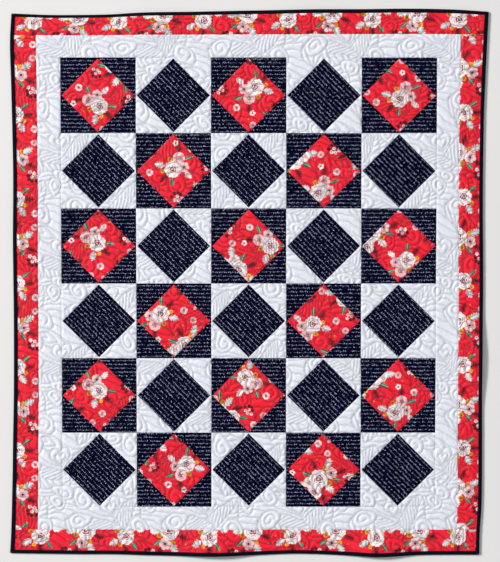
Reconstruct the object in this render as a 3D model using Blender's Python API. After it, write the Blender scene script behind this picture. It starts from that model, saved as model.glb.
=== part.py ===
"""A pieced lap quilt, laid out face up on the surface it rests on.

The quilt is 5 blocks across and 6 blocks up. Every block is a square set on its point inside a
square, and the two kinds of block alternate. A white inner border and a printed outer border frame
the blocks, and a narrow folded binding closes the edge. Top, filling and back are quilted together,
so each panel is one padded solid with its puffs, its sunk seams and the real thickness of the layers.

All lengths are in metres. The cut shape is worked out flat, in u across and v up from the middle of
the blocks, and laid() then gives each point its place in the quilt as it lies.
"""

import math
from collections import namedtuple
from itertools import pairwise

import bmesh
import bpy
from mathutils import Matrix, Vector

# Sizes of the cut pieces
BLOCK = 0.1651
BLOCKS_ACROSS = 5
BLOCKS_UP = 6
INNER_BORDER = 0.0508
OUTER_BORDER = 0.0460
BINDING_WIDTH = 0.0085

# Thicknesses and heights
SEAM_HEIGHT = 0.0030
PUFF_HEIGHT = 0.0049
PUFF_RUN = 0.0110
LUMP_HEIGHT = 0.0004
LUMP_SPAN = 0.0450
LUMP_SWAY = 0.0970
EDGE_BOTTOM = 0.0013
EDGE_TOP = 0.0033
EDGE_EASE = 0.0045
EDGE_INSET = 0.0034
CLOTH_FOLD = 0.0010
BINDING_HEIGHT = 0.0046
GAP = 0.0003

# Mesh steps
CELLS_PER_BLOCK = 8
BORDER_STEPS_PER_BLOCK = 5
INNER_BORDER_STEPS = 3

# Worked out from the sizes above
PANEL_U = BLOCKS_ACROSS * BLOCK / 2
PANEL_V = BLOCKS_UP * BLOCK / 2
FRAME_U = PANEL_U + INNER_BORDER
FRAME_V = PANEL_V + INNER_BORDER
EDGE_U = FRAME_U + OUTER_BORDER + BINDING_WIDTH
EDGE_V = FRAME_V + OUTER_BORDER + BINDING_WIDTH

# How far the quilt's edge lies outside its straight cut line, by the share of the way along it,
# from the left or from the bottom.
EdgePoint = namedtuple("EdgePoint", "share reach")
TOP_EDGE = [
    EdgePoint(0.00, -0.0094),
    EdgePoint(0.08, -0.0126),
    EdgePoint(0.15, -0.0125),
    EdgePoint(0.21, -0.0113),
    EdgePoint(0.27, -0.0081),
    EdgePoint(0.37, -0.0060),
    EdgePoint(0.48, -0.0035),
    EdgePoint(0.60, -0.0015),
    EdgePoint(0.74, 0.0000),
    EdgePoint(0.84, 0.0010),
    EdgePoint(0.93, -0.0008),
    EdgePoint(1.00, -0.0056),
]
BOTTOM_EDGE = [
    EdgePoint(0.00, -0.0012),
    EdgePoint(0.14, 0.0010),
    EdgePoint(0.21, 0.0011),
    EdgePoint(0.29, 0.0037),
    EdgePoint(0.40, 0.0055),
    EdgePoint(0.50, 0.0037),
    EdgePoint(0.59, 0.0001),
    EdgePoint(0.65, 0.0010),
    EdgePoint(0.72, 0.0045),
    EdgePoint(0.78, 0.0066),
    EdgePoint(0.88, 0.0028),
    EdgePoint(1.00, 0.0024),
]
LEFT_EDGE = [
    EdgePoint(0.00, 0.0120),
    EdgePoint(0.04, 0.0092),
    EdgePoint(0.14, 0.0055),
    EdgePoint(0.21, 0.0038),
    EdgePoint(0.30, 0.0013),
    EdgePoint(0.43, 0.0003),
    EdgePoint(0.56, 0.0009),
    EdgePoint(0.66, -0.0006),
    EdgePoint(0.76, 0.0004),
    EdgePoint(0.87, 0.0029),
    EdgePoint(0.94, 0.0047),
    EdgePoint(1.00, 0.0010),
]
RIGHT_EDGE = [
    EdgePoint(0.00, -0.0060),
    EdgePoint(0.04, -0.0052),
    EdgePoint(0.09, -0.0017),
    EdgePoint(0.18, -0.0011),
    EdgePoint(0.34, -0.0023),
    EdgePoint(0.50, -0.0012),
    EdgePoint(0.65, -0.0031),
    EdgePoint(0.80, -0.0020),
    EdgePoint(0.88, 0.0010),
    EdgePoint(0.94, 0.0040),
    EdgePoint(1.00, 0.0072),
]

# Where the quilt's rim stands up from the surface in a soft ripple
Ripple = namedtuple("Ripple", "side share height half_span")
RIPPLES = [
    Ripple("bottom", 0.43, 0.0080, 0.105),
    Ripple("bottom", 0.78, 0.0070, 0.090),
    Ripple("top", 0.30, 0.0045, 0.110),
    Ripple("top", 0.64, 0.0050, 0.120),
    Ripple("left", 0.62, 0.0040, 0.130),
    Ripple("right", 0.36, 0.0045, 0.120),
]
RIPPLE_RUN = 0.085

# How quickly an edge's wander fades towards the blocks: the side borders widen evenly, and the
# borders at the two ends keep their inner seam straight.
SIDE_FADE = 1.0
END_FADE = 2.2

# The cloths' colours and how rough each is
Cloth = namedtuple("Cloth", "colour roughness")
CLOTHS = {
    "white_cotton": Cloth((0.82, 0.84, 0.88), 0.85),
    "floral_cotton": Cloth((0.80, 0.03, 0.05), 0.80),
    "navy_print_cotton": Cloth((0.012, 0.016, 0.045), 0.80),
    "binding_cotton": Cloth((0.006, 0.008, 0.022), 0.75),
}


def along_curve(points, share):
    """The reach at a share of an edge, on a smooth curve through the table's points."""
    last = len(points) - 1
    i = next((k for k in range(last) if share <= points[k + 1].share), last - 1)
    a, b = points[i], points[i + 1]
    before, after = points[max(i - 1, 0)], points[min(i + 2, last)]
    span = b.share - a.share
    t = min(max((share - a.share) / span, 0.0), 1.0)
    slope_a = (b.reach - before.reach) / (b.share - before.share) * span
    slope_b = (after.reach - a.reach) / (after.share - a.share) * span
    return (
        (2 * t**3 - 3 * t**2 + 1) * a.reach
        + (t**3 - 2 * t**2 + t) * slope_a
        + (3 * t**2 - 2 * t**3) * b.reach
        + (t**3 - t**2) * slope_b
    )


def to_edge(u, v):
    """How far a point of the flat quilt is from the quilt's nearest cut edge."""
    return min(EDGE_U - abs(u), EDGE_V - abs(v))


def ripple_height(u, v):
    """How far the rim's ripples lift a point off the surface."""
    share_across = (u + EDGE_U) / (2 * EDGE_U)
    share_up = (v + EDGE_V) / (2 * EDGE_V)
    sides = {
        "bottom": (share_across, 2 * EDGE_U, v + EDGE_V),
        "top": (share_across, 2 * EDGE_U, EDGE_V - v),
        "left": (share_up, 2 * EDGE_V, u + EDGE_U),
        "right": (share_up, 2 * EDGE_V, EDGE_U - u),
    }
    height = 0.0
    for ripple in RIPPLES:
        share, length, inward = sides[ripple.side]
        off = abs(share - ripple.share) * length / ripple.half_span
        if off < 1 and inward < RIPPLE_RUN:
            along = math.cos(off * math.pi / 2) ** 2
            across = math.cos(inward / RIPPLE_RUN * math.pi / 2) ** 2
            height += ripple.height * along * across
    return height


def laid(u, v, z):
    """Where a point of the flat quilt, z above its own underside, lies."""
    share_across = (u + EDGE_U) / (2 * EDGE_U)
    share_up = (v + EDGE_V) / (2 * EDGE_V)
    out_u = max(abs(u) - PANEL_U, 0.0) / (EDGE_U - PANEL_U)
    out_v = max(abs(v) - PANEL_V, 0.0) / (EDGE_V - PANEL_V)
    side = RIGHT_EDGE if u > 0 else LEFT_EDGE
    end = TOP_EDGE if v > 0 else BOTTOM_EDGE
    x = u + math.copysign(1, u) * along_curve(side, share_up) * out_u**SIDE_FADE
    y = v + math.copysign(1, v) * along_curve(end, share_across) * out_v**END_FADE
    return Vector((x, y, z + ripple_height(u, v)))


def to_block_seam(u, v):
    """How far a point among the blocks is from the nearest seam of a block or of its set-in square."""
    in_u = (u + PANEL_U) % BLOCK
    in_v = (v + PANEL_V) % BLOCK
    from_side = min(in_u, BLOCK - in_u, in_v, BLOCK - in_v)
    from_middle = abs(in_u - BLOCK / 2) + abs(in_v - BLOCK / 2)
    return min(from_side, abs(BLOCK / 2 - from_middle) / math.sqrt(2))


def to_border_seam(u, v):
    """How far a point in the borders is from the nearest border seam."""
    seams = [(PANEL_U, PANEL_V), (FRAME_U, FRAME_V)]
    off = [max(abs(u) - half_u, abs(v) - half_v) for half_u, half_v in seams]
    return min(abs(distance) for distance in off)


def top_height(u, v):
    """The height of the quilted face above the quilt's own underside."""
    among_blocks = abs(u) < PANEL_U and abs(v) < PANEL_V
    seam = to_block_seam(u, v) if among_blocks else to_border_seam(u, v)
    puff = 1 - math.exp(-seam / PUFF_RUN)
    sway = math.sin(math.pi * v / LUMP_SWAY)
    lumps = math.sin(math.pi * u / LUMP_SPAN + sway) * math.sin(math.pi * v / LUMP_SPAN + 1)
    height = SEAM_HEIGHT + puff * (PUFF_HEIGHT - SEAM_HEIGHT + LUMP_HEIGHT * lumps)
    squeezed = eased_to_edge(u, v)
    return EDGE_TOP * squeezed + height * (1 - squeezed)


def bottom_height(u, v):
    """The height of the underside: flat, and drawn up where the binding's lower fold covers it."""
    return EDGE_BOTTOM * eased_to_edge(u, v)


def eased_to_edge(u, v):
    """1 under the binding, and 0 from a short way inside it."""
    inside = to_edge(u, v) - BINDING_WIDTH - GAP
    return 1 - min(max(inside / EDGE_EASE, 0.0), 1.0)


def steps(start, stop, count):
    """Evenly spaced lines from start up to stop, both included."""
    return [start + (stop - start) * k / count for k in range(count + 1)]


def inset_by_gap(lines):
    """The same lines with the first and the last drawn in by half the gap between pieces."""
    return [lines[0] + GAP / 2, *lines[1:-1], lines[-1] - GAP / 2]


def border_lines(panel_half, blocks):
    """Lines across the whole quilt: the outer border, the inner border, the blocks and back out."""
    frame_half = panel_half + INNER_BORDER
    edge_half = frame_half + OUTER_BORDER + BINDING_WIDTH
    rim = [
        edge_half - EDGE_INSET,
        edge_half - BINDING_WIDTH - GAP,
        edge_half - BINDING_WIDTH - GAP - EDGE_EASE,
        frame_half + OUTER_BORDER * 2 / 3,
        frame_half + OUTER_BORDER / 3,
    ]
    inner = steps(frame_half, panel_half, INNER_BORDER_STEPS)
    half = rim + inner[:-1]
    middle = steps(-panel_half, panel_half, blocks * BORDER_STEPS_PER_BLOCK)
    return [-line for line in half] + middle + half[::-1]


def between(lines, low, high):
    """The part of a list of lines from low up to high, with the piece's own gap taken off its ends."""
    slack = GAP / 2
    return [line for line in lines if low - slack <= line <= high + slack]


def new_material(name):
    """A plain Principled material in one of the quilt's cloths."""
    material = bpy.data.materials.new(name)
    material.use_nodes = True
    shader = material.node_tree.nodes["Principled BSDF"]
    shader.inputs["Base Color"].default_value = (*CLOTHS[name].colour, 1.0)
    shader.inputs["Roughness"].default_value = CLOTHS[name].roughness
    shader.inputs["Metallic"].default_value = 0.0
    material.diffuse_color = (*CLOTHS[name].colour, 1.0)
    return material


def finished(name, bm, materials):
    """Turns a bmesh into a named object with its faces pointing out."""
    bmesh.ops.recalc_face_normals(bm, faces=bm.faces)
    mesh = bpy.data.meshes.new(name)
    bm.to_mesh(mesh)
    bm.free()
    for material in materials:
        mesh.materials.append(material)
    mesh.shade_smooth()
    mesh.set_sharp_from_angle(angle=math.radians(50))
    part = bpy.data.objects.new(name, mesh)
    bpy.context.scene.collection.objects.link(part)
    return part


def face_grid(bm, u_lines, v_lines, height):
    """A sheet of points over the lines, as rows of bmesh vertices."""
    return [[bm.verts.new(laid(u, v, height(u, v))) for u in u_lines] for v in v_lines]


def split_cell(bm, rows, i, j, rising):
    """Two triangles over one cell, cut along its rising or its falling diagonal."""
    low_left, low_right = rows[j][i], rows[j][i + 1]
    high_left, high_right = rows[j + 1][i], rows[j + 1][i + 1]
    if rising:
        corners = [(low_left, low_right, high_right), (low_left, high_right, high_left)]
    else:
        corners = [(low_left, low_right, high_left), (low_right, high_right, high_left)]
    return [bm.faces.new(three) for three in corners]


def rim_of(rows):
    """The outer vertices of a grid, once round."""
    across = rows[0][:-1]
    up = [row[-1] for row in rows[:-1]]
    back = rows[-1][:0:-1]
    down = [row[0] for row in rows[:0:-1]]
    return across + up + back + down


def wall(bm, top_rim, bottom_rim):
    """The upright rim between the two faces of a piece."""
    count = len(top_rim)
    for k in range(count):
        following = (k + 1) % count
        bm.faces.new((top_rim[k], top_rim[following], bottom_rim[following], bottom_rim[k]))


def block_centre(index, half):
    """The middle of a block, counted from the left or from the bottom."""
    return (index + 0.5) * BLOCK - half


def patch_cloth(u, v):
    """Which cloth a point among the blocks is cut from, as an index into the panel's materials."""
    column = int((u + PANEL_U) // BLOCK)
    row_from_top = int((PANEL_V - v) // BLOCK)
    off_u = abs(u - block_centre(column, PANEL_U))
    off_v = abs(v - block_centre(BLOCKS_UP - 1 - row_from_top, PANEL_V))
    set_in = off_u + off_v < BLOCK / 2
    printed_block = (column + row_from_top) % 2 == 0
    if printed_block:
        return 1 if set_in else 2
    return 2 if set_in else 0


def pieced_panel():
    """The 30 blocks as one padded panel, its mesh split along the seams of every patch."""
    bm = bmesh.new()
    u_lines = inset_by_gap(steps(-PANEL_U, PANEL_U, BLOCKS_ACROSS * CELLS_PER_BLOCK))
    v_lines = inset_by_gap(steps(-PANEL_V, PANEL_V, BLOCKS_UP * CELLS_PER_BLOCK))
    rows = face_grid(bm, u_lines, v_lines, top_height)
    half_cells = CELLS_PER_BLOCK // 2
    for j in range(len(v_lines) - 1):
        for i in range(len(u_lines) - 1):
            left = i % CELLS_PER_BLOCK < half_cells
            low = j % CELLS_PER_BLOCK < half_cells
            for face in split_cell(bm, rows, i, j, rising=left != low):
                middle = face.calc_center_median()
                face.material_index = patch_cloth(middle.x, middle.y)
    top_rim = rim_of(rows)
    bottom_rim = [bm.verts.new((v.co.x, v.co.y, 0.0)) for v in top_rim]
    wall(bm, top_rim, bottom_rim)
    middle = bm.verts.new((0.0, 0.0, 0.0))
    for k, vertex in enumerate(bottom_rim):
        bm.faces.new((middle, bottom_rim[(k + 1) % len(bottom_rim)], vertex))
    cloths = ("white_cotton", "floral_cotton", "navy_print_cotton")
    return finished("pieced_panel", bm, [MATERIALS[name] for name in cloths])


def border_strip(name, u_lines, v_lines, cloth):
    """One border strip, quilted as deep as the panel, following the ripples on both faces."""
    bm = bmesh.new()
    u_lines, v_lines = inset_by_gap(u_lines), inset_by_gap(v_lines)
    top = face_grid(bm, u_lines, v_lines, top_height)
    bottom = face_grid(bm, u_lines, v_lines, bottom_height)
    for rows in (top, bottom):
        for j in range(len(v_lines) - 1):
            for i in range(len(u_lines) - 1):
                split_cell(bm, rows, i, j, rising=(i + j) % 2 == 0)
    wall(bm, rim_of(top), rim_of(bottom))
    return finished(name, bm, [MATERIALS[cloth]])


def border_frame(name, cloth, inner, outer, u_lines, v_lines):
    """Four strips round the quilt: two upright ones, then the lower and the upper over their ends."""
    (inner_u, inner_v), (outer_u, outer_v) = inner, outer
    across = between(u_lines, -outer_u, outer_u)
    up = between(v_lines, -inner_v, inner_v)
    return [
        border_strip(f"{name}_left", between(u_lines, -outer_u, -inner_u), up, cloth),
        border_strip(f"{name}_right", between(u_lines, inner_u, outer_u), up, cloth),
        border_strip(f"{name}_bottom", across, between(v_lines, -outer_v, -inner_v), cloth),
        border_strip(f"{name}_top", across, between(v_lines, inner_v, outer_v), cloth),
    ]


def binding_section():
    """The folded binding's cross-section: distance in from the edge, and height, once round."""
    fold_top = BINDING_HEIGHT - CLOTH_FOLD
    middle = BINDING_HEIGHT / 2
    channel = EDGE_INSET - 2 * GAP
    return [
        (BINDING_WIDTH, BINDING_HEIGHT - CLOTH_FOLD / 3),
        (BINDING_WIDTH / 2, BINDING_HEIGHT + CLOTH_FOLD / 4),
        (BINDING_WIDTH / 8, BINDING_HEIGHT - CLOTH_FOLD / 2),
        (0.0, middle),
        (BINDING_WIDTH / 8, CLOTH_FOLD / 2),
        (BINDING_WIDTH / 3, 0.0),
        (BINDING_WIDTH, 0.0),
        (BINDING_WIDTH, CLOTH_FOLD),
        (channel, CLOTH_FOLD),
        (channel, fold_top),
        (BINDING_WIDTH, fold_top),
    ]


def binding_strip(name, lines, edge_along, edge_off, place):
    """One side of the binding. place turns a point along and off the side into u and v."""
    bm = bmesh.new()
    section = binding_section()
    clear = edge_along - BINDING_WIDTH - GAP
    inner_lines = [line for line in lines if abs(line) < clear]
    mitre = edge_along - GAP
    rings = []
    for along in (-mitre, *inner_lines, mitre):
        ring = []
        for inward, height in section:
            limit = mitre - inward
            u, v = place(min(max(along, -limit), limit), edge_off - inward)
            ring.append(bm.verts.new(laid(u, v, height)))
        rings.append(ring)
    count = len(section)
    for ring, following in pairwise(rings):
        for k in range(count):
            m = (k + 1) % count
            bm.faces.new((ring[k], ring[m], following[m], following[k]))
    bm.faces.new(rings[0])
    bm.faces.new(rings[-1][::-1])
    return finished(name, bm, [MATERIALS["binding_cotton"]])


def binding(u_lines, v_lines):
    """The binding's four sides, mitred at the corners."""
    return [
        binding_strip("binding_bottom", u_lines, EDGE_U, EDGE_V, lambda a, off: (a, -off)),
        binding_strip("binding_top", u_lines, EDGE_U, EDGE_V, lambda a, off: (a, off)),
        binding_strip("binding_left", v_lines, EDGE_V, EDGE_U, lambda a, off: (-off, a)),
        binding_strip("binding_right", v_lines, EDGE_V, EDGE_U, lambda a, off: (off, a)),
    ]


def centred(parts):
    """Moves every mesh so that the middle of the whole quilt's footprint is at the origin."""
    points = [vertex.co for part in parts for vertex in part.data.vertices]
    low_x, high_x = min(p.x for p in points), max(p.x for p in points)
    low_y, high_y = min(p.y for p in points), max(p.y for p in points)
    shift = Matrix.Translation((-(low_x + high_x) / 2, -(low_y + high_y) / 2, 0.0))
    for part in parts:
        part.data.transform(shift)


for old in list(bpy.data.objects):
    bpy.data.objects.remove(old)

MATERIALS = {name: new_material(name) for name in CLOTHS}
ALL_U = border_lines(PANEL_U, BLOCKS_ACROSS)
ALL_V = border_lines(PANEL_V, BLOCKS_UP)
RIM_U, RIM_V = EDGE_U - EDGE_INSET, EDGE_V - EDGE_INSET

centred(
    [
        pieced_panel(),
        *border_frame(
            "inner_border", "white_cotton", (PANEL_U, PANEL_V), (FRAME_U, FRAME_V), ALL_U, ALL_V
        ),
        *border_frame(
            "outer_border", "floral_cotton", (FRAME_U, FRAME_V), (RIM_U, RIM_V), ALL_U, ALL_V
        ),
        *binding(ALL_U, ALL_V),
    ]
)
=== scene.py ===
"""The cloths, quilting, thread and binding of a pieced lap quilt, laid out face up.

Run as a script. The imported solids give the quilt's place and its block size. Every cloth is cut flat,
in u across and v up from the middle of the blocks, and laid() gives each point its place in the quilt
as it lies. Lengths are in metres.
"""

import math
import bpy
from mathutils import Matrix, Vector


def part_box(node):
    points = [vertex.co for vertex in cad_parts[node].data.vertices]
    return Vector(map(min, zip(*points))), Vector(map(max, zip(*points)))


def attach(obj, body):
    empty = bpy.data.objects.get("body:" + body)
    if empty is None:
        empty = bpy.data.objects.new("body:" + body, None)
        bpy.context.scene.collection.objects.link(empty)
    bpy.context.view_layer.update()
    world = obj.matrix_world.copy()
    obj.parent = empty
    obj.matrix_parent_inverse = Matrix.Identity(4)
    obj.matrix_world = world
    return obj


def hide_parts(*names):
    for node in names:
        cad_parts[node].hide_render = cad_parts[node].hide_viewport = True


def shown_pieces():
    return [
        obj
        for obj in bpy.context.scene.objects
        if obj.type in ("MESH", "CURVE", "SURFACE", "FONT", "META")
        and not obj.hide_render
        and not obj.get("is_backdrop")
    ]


bl_info = {
    "name": "Pieced Lap Quilt",
    "version": (1, 0, 0),
    "blender": (4, 5, 0),
    "location": "View3D > Sidebar > Quilt",
    "description": "Makes the patches, borders, binding, back and quilting thread of a pieced lap quilt",
    "category": "Object",
}

from collections import namedtuple
from functools import cache

import bpy
import numpy as np
from bpy.props import FloatProperty, FloatVectorProperty, IntProperty, PointerProperty
from mathutils import Matrix, Vector

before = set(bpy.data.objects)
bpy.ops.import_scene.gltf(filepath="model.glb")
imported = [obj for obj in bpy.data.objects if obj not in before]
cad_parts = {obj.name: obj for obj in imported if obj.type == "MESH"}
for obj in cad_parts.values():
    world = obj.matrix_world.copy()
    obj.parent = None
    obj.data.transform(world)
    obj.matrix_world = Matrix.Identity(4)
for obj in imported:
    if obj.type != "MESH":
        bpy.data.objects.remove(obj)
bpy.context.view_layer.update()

# The cut pieces' sizes, from the solids and the quilt's own pattern
GAP = 0.0003
BLOCKS_ACROSS = 5
BLOCKS_UP = 6
PANEL_LOW, PANEL_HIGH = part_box("pieced_panel")
PANEL_MIDDLE = (PANEL_LOW + PANEL_HIGH) / 2
BLOCK = (PANEL_HIGH.x - PANEL_LOW.x + GAP) / BLOCKS_ACROSS
INNER_BORDER = 0.0508
OUTER_BORDER = 0.0460
BINDING_WIDTH = 0.0085
EDGE_INSET = 0.0034
PANEL_U = BLOCKS_ACROSS * BLOCK / 2
PANEL_V = BLOCKS_UP * BLOCK / 2
FRAME_U = PANEL_U + INNER_BORDER
FRAME_V = PANEL_V + INNER_BORDER
EDGE_U = FRAME_U + OUTER_BORDER + BINDING_WIDTH
EDGE_V = FRAME_V + OUTER_BORDER + BINDING_WIDTH

# Heights above the quilt's own underside
BACK_TOP = 0.0009
PATCH_BOTTOM = 0.0012
STITCH_HEIGHT = 0.0024
EDGE_BOTTOM = 0.0013
EDGE_TOP = 0.0033
EDGE_EASE = 0.0060
BINDING_HEIGHT = 0.0046
CLOTH_FOLD = 0.0010

# How far the quilt's edge lies outside its straight cut line: each pair is a share of the way along
# the edge, from the left or from the bottom, and the reach there.
TOP_EDGE = [
    (0.00, -0.0094), (0.08, -0.0126), (0.15, -0.0125), (0.21, -0.0113), (0.27, -0.0081), (0.37, -0.0060),
    (0.48, -0.0035), (0.60, -0.0015), (0.74, 0.0000), (0.84, 0.0010), (0.93, -0.0008), (1.00, -0.0056),
]
BOTTOM_EDGE = [
    (0.00, -0.0012), (0.14, 0.0010), (0.21, 0.0011), (0.29, 0.0037), (0.40, 0.0055), (0.50, 0.0037),
    (0.59, 0.0001), (0.65, 0.0010), (0.72, 0.0045), (0.78, 0.0066), (0.88, 0.0028), (1.00, 0.0024),
]
LEFT_EDGE = [
    (0.00, 0.0120), (0.04, 0.0092), (0.14, 0.0055), (0.21, 0.0038), (0.30, 0.0013), (0.43, 0.0003),
    (0.56, 0.0009), (0.66, -0.0006), (0.76, 0.0004), (0.87, 0.0029), (0.94, 0.0047), (1.00, 0.0010),
]
RIGHT_EDGE = [
    (0.00, -0.0060), (0.04, -0.0052), (0.09, -0.0017), (0.18, -0.0011), (0.34, -0.0023), (0.50, -0.0012),
    (0.65, -0.0031), (0.80, -0.0020), (0.88, 0.0010), (0.94, 0.0040), (1.00, 0.0072),
]
END_FADE = 2.2

# Where the quilt's rim stands up from the surface in a soft ripple
Ripple = namedtuple("Ripple", "side share height half_span")
RIPPLES = [
    Ripple("bottom", 0.43, 0.0080, 0.105),
    Ripple("bottom", 0.78, 0.0070, 0.090),
    Ripple("top", 0.30, 0.0045, 0.110),
    Ripple("top", 0.64, 0.0050, 0.120),
    Ripple("left", 0.62, 0.0040, 0.130),
    Ripple("right", 0.36, 0.0045, 0.120),
]
RIPPLE_RUN = 0.085

# The quilting: every repeat has motifs that overlap like leaves, over a ground of waves. A later
# sprout of the list covers an earlier one. Rows of repeats are half a repeat to one side in turn.
UNIT = 0.210
ROW_PITCH = 0.116
GROUND_LINES = 9
GROUND_WAVE = 0.015
DRIFT = 0.0045
SHAKE = 0.0008
PATH_STEP = 0.0008
MAP_STEP = 0.0007
MAP_REACH = 0.0160
GROOVE_RUN = 0.0011
Sprout = namedtuple("Sprout", "motif u v size turn")
UNIT_SPROUTS = [
    Sprout("plume", 0.000, 0.000, 0.122, 35),
    Sprout("plume", 0.122, 0.056, 0.112, -30),
    Sprout("leaf", 0.060, 0.002, 0.062, -30),
    Sprout("leaf", 0.152, -0.006, 0.066, 66),
    Sprout("heart", 0.012, 0.060, 0.042, 100),
    Sprout("curl", 0.088, 0.012, 0.052, 125),
    Sprout("curl", 0.036, 0.012, 0.050, -62),
    Sprout("curl", 0.176, 0.064, 0.050, 200),
    Sprout("curl", 0.198, 0.014, 0.044, -24),
    Sprout("curl", 0.104, 0.072, 0.042, 100),
]


def screen_colour(red, green, blue):
    """A colour given as it shows on a screen, from 0 to 255, in the linear values shaders use."""
    shares = [value / 255 for value in (red, green, blue)]
    return tuple(s / 12.92 if s <= 0.04045 else ((s + 0.055) / 1.055) ** 2.4 for s in shares)


def size_property(name, description, default):
    """A length that a user can change."""
    return FloatProperty(
        name=name, description=description, default=default, min=0.0, unit="LENGTH", precision=4
    )


def colour_property(name, description, *screen):
    """A colour that a user can change."""
    return FloatVectorProperty(
        name=name,
        description=description,
        default=screen_colour(*screen),
        min=0.0,
        max=1.0,
        size=3,
        subtype="COLOR",
    )


class QuiltSizes(bpy.types.PropertyGroup):
    """Sizes of the quilt's surface that can be changed without a new cut."""

    cells: IntProperty(
        name="Cells per block",
        description="How many steps the mesh takes across one block; an even number",
        default=76,
        min=16,
        max=84,
    )
    puff: size_property("Puff", "How far the filling lifts the cloth between quilting lines", 0.0025)
    puff_run: size_property("Puff run", "How far from a quilting line the puff takes to rise", 0.0018)
    seam_dip: size_property("Seam dip", "How far the cloth sinks at a seam", 0.0007)
    seam_run: size_property("Seam run", "How wide the dip along a seam is", 0.0022)
    crinkle: size_property("Crinkle", "Height of the small washed wrinkles", 0.00046)
    stitch_pitch: size_property("Stitch pitch", "From the start of one stitch to the next", 0.0036)
    stitch_length: size_property("Stitch length", "The part of a stitch that shows", 0.0029)
    thread_width: size_property("Thread width", "Diameter of the quilting thread", 0.00023)


class QuiltColours(bpy.types.PropertyGroup):
    """Colours of the quilt's cloths and of its print."""

    white: colour_property("White cotton", "The plain white cloth", 236, 237, 245)
    navy: colour_property("Navy", "The ground of the dash print", 3, 5, 33)
    dash: colour_property("Dash", "The dashes on the navy cloth", 196, 202, 236)
    red: colour_property("Red", "The ground of the floral print", 250, 28, 53)
    binding: colour_property("Binding", "The folded edge", 8, 9, 25)
    back: colour_property("Back", "The cloth under the quilt", 226, 228, 236)
    thread: colour_property("Thread", "The quilting thread", 222, 222, 230)
    petal: colour_property("Petal", "The roses' petals", 252, 246, 244)
    petal_shade: colour_property("Petal shade", "The folds between petals", 222, 116, 134)
    heart: colour_property("Heart", "The middle of a rose", 160, 18, 52)
    blush: colour_property("Blush", "The pale pink flowers", 246, 208, 208)
    gold: colour_property("Gold", "The golden buttons", 226, 148, 26)
    yellow: colour_property("Yellow", "The yellow buttons", 246, 196, 40)
    leaf: colour_property("Leaf", "The green leaves", 22, 138, 88)
    mint: colour_property("Mint", "The pale leaves", 206, 222, 216)
    maroon: colour_property("Maroon", "The dark sprigs and berries", 100, 8, 26)


def in_scene(name, data):
    """A new object at the origin that holds some data."""
    thing = bpy.data.objects.new(name, data)
    bpy.context.scene.collection.objects.link(thing)
    return thing


def turning(angle):
    """The turn of flat points by an angle, as the matrix that they are multiplied by."""
    return np.array([[math.cos(angle), math.sin(angle)], [-math.sin(angle), math.cos(angle)]])


# The quilt as it lies


def along_curve(points, share):
    """The reach at each share of an edge, on a smooth curve through the table's points."""
    shares, reaches = np.array(points).T
    last = len(points) - 1
    i = np.clip(np.searchsorted(shares, share, side="left") - 1, 0, last - 1)
    before, after = np.maximum(i - 1, 0), np.minimum(i + 2, last)
    span = shares[i + 1] - shares[i]
    t = np.clip((share - shares[i]) / span, 0, 1)
    slope_a = (reaches[i + 1] - reaches[before]) / (shares[i + 1] - shares[before]) * span
    slope_b = (reaches[after] - reaches[i]) / (shares[after] - shares[i]) * span
    return (
        (2 * t**3 - 3 * t**2 + 1) * reaches[i]
        + (t**3 - 2 * t**2 + t) * slope_a
        + (3 * t**2 - 2 * t**3) * reaches[i + 1]
        + (t**3 - t**2) * slope_b
    )


def shares_along(u, v):
    """How far along the quilt's width and length each point is, from 0 to 1."""
    return (u + EDGE_U) / (2 * EDGE_U), (v + EDGE_V) / (2 * EDGE_V)


def ripple_height(u, v):
    """How far the rim's ripples lift each point off the surface."""
    share_across, share_up = shares_along(u, v)
    sides = {
        "bottom": (share_across, 2 * EDGE_U, v + EDGE_V),
        "top": (share_across, 2 * EDGE_U, EDGE_V - v),
        "left": (share_up, 2 * EDGE_V, u + EDGE_U),
        "right": (share_up, 2 * EDGE_V, EDGE_U - u),
    }
    height = np.zeros_like(u)
    for ripple in RIPPLES:
        share, length, inward = sides[ripple.side]
        along = np.clip(np.abs(share - ripple.share) * length / ripple.half_span, 0, 1)
        across = np.clip(inward / RIPPLE_RUN, 0, 1)
        height += ripple.height * np.cos(along * math.pi / 2) ** 2 * np.cos(across * math.pi / 2) ** 2
    return height


def laid(u, v, z):
    """Where points of the flat quilt, z above its own underside, lie."""
    share_across, share_up = shares_along(u, v)
    out_u = np.maximum(np.abs(u) - PANEL_U, 0) / (EDGE_U - PANEL_U)
    out_v = np.maximum(np.abs(v) - PANEL_V, 0) / (EDGE_V - PANEL_V)
    side = np.where(u > 0, along_curve(RIGHT_EDGE, share_up), along_curve(LEFT_EDGE, share_up))
    end = np.where(v > 0, along_curve(TOP_EDGE, share_across), along_curve(BOTTOM_EDGE, share_across))
    x = u + np.sign(u) * side * out_u + PANEL_MIDDLE.x
    y = v + np.sign(v) * end * out_v**END_FADE + PANEL_MIDDLE.y
    return np.column_stack([x, y, z + ripple_height(u, v)])


# The quilting lines

Motif = namedtuple("Motif", "outline strokes")


def bent(along, off, size, bend):
    """Points along a motif and off its spine, which bends to its left."""
    return np.column_stack([along, bend * along**2 / size + off])


def bent_loop(along, half_width, size, bend):
    """The outline of a bent leaf, up one side and down the other."""
    sides = bent(along, half_width, size, bend), bent(along, -half_width, size, bend)[::-1]
    return np.vstack(sides)


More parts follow.
